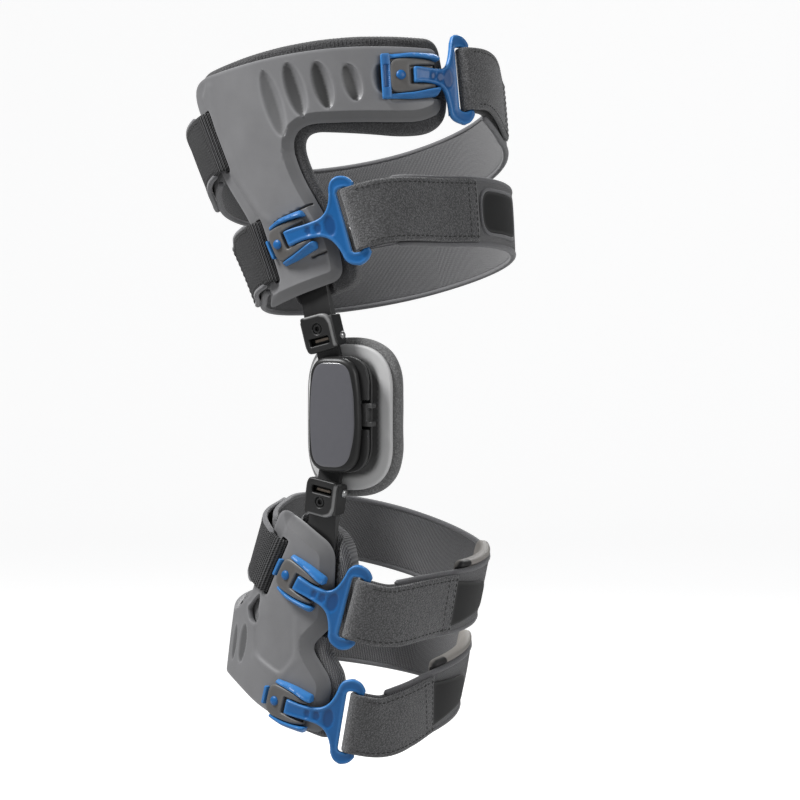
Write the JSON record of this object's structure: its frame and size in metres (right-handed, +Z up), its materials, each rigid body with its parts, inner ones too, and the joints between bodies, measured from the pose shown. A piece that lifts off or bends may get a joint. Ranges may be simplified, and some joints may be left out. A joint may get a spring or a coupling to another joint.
{
  "type": "hinged knee brace",
  "caption": "Hinged knee brace worn on a right leg: moulded thigh and calf shells joined by a geared side hinge with condyle pad, held on by padded straps with quick hook buckles.",
  "frame": {"origin": "middle of the knee that the brace is worn on", "axes": "+X to the front of the leg, -Y to the outer side where the hinge is, +Z up along the leg"},
  "size_m": [0.1892, 0.1818, 0.4012],
  "materials": {
    "shell_plastic": "satin moulded grey",
    "liner_cloth": "dark grey napped cloth",
    "strap_cloth": "grey looped pile",
    "blue_plastic": "satin moulded blue",
    "dark_plastic": "satin dark grey",
    "black_metal": "satin black",
    "steel": "satin",
    "gloss_cover": "glossy slate",
    "pale_plastic": "satin pale grey",
    "foam": "cloth-faced foam"
  },
  "bodies": {
    "thigh_frame": {"thigh_shell": "shell_plastic", "thigh_liner": "liner_cloth", "thigh_upright": "black_metal", "thigh_tilt_pin": "steel", "thigh_set_screw": "steel", "thigh_upper_base": "dark_plastic", "thigh_upper_frame": "blue_plastic", "thigh_upper_rivet": "blue_plastic", "thigh_upper_hook": "blue_plastic", "thigh_upper_strap": "strap_cloth", "thigh_lower_base": "dark_plastic", "thigh_lower_frame": "blue_plastic", "thigh_lower_rivet": "blue_plastic", "thigh_lower_hook": "blue_plastic", "thigh_lower_strap": "strap_cloth"},
    "hinge_upper_arm": {"upper_arm": "black_metal"},
    "hinge_center": {"hinge_back_plate": "black_metal", "hinge_front_plate": "black_metal", "hinge_cover": "gloss_cover", "hinge_pivot_upper": "steel", "hinge_pivot_lower": "steel", "hinge_stop_clip": "steel", "condyle_plate": "pale_plastic", "condyle_pad": "foam"},
    "hinge_lower_arm": {"lower_arm": "black_metal"},
    "calf_frame": {"calf_shell": "shell_plastic", "calf_liner": "liner_cloth", "calf_upright": "black_metal", "calf_tilt_pin": "steel", "calf_set_screw": "steel", "calf_upper_base": "dark_plastic", "calf_upper_frame": "blue_plastic", "calf_upper_rivet": "blue_plastic", "calf_upper_hook": "blue_plastic", "calf_upper_strap": "strap_cloth", "calf_lower_base": "dark_plastic", "calf_lower_frame": "blue_plastic", "calf_lower_rivet": "blue_plastic", "calf_lower_hook": "blue_plastic", "calf_lower_strap": "strap_cloth"}
  },
  "joints": [
    {"name": "tilt_upper", "type": "hinge", "parent": "thigh_frame", "child": "hinge_upper_arm", "pos_m": [-0.00652, -0.073, 0.05376], "axis": [0.9744, 0, 0.225], "range_deg": [-6, 6]},
    {"name": "flex_upper", "type": "hinge", "parent": "hinge_upper_arm", "child": "hinge_center", "pos_m": [0, -0.073, 0.0255], "axis": [0, 1, 0], "range_deg": [-12, 33]},
    {"name": "flex_lower", "type": "hinge", "parent": "hinge_center", "child": "hinge_lower_arm", "pos_m": [0, -0.073, -0.0005], "axis": [0, 1, 0], "range_deg": [-12, 33]},
    {"name": "tilt_lower", "type": "hinge", "parent": "hinge_lower_arm", "child": "calf_frame", "pos_m": [-0.00553, -0.073, -0.02897], "axis": [0.9816, 0, -0.1908], "range_deg": [-6, 6]}
  ],
  "couplings": [
    {"joint": "flex_lower", "follows": "flex_upper", "ratio": 1}
  ]
}
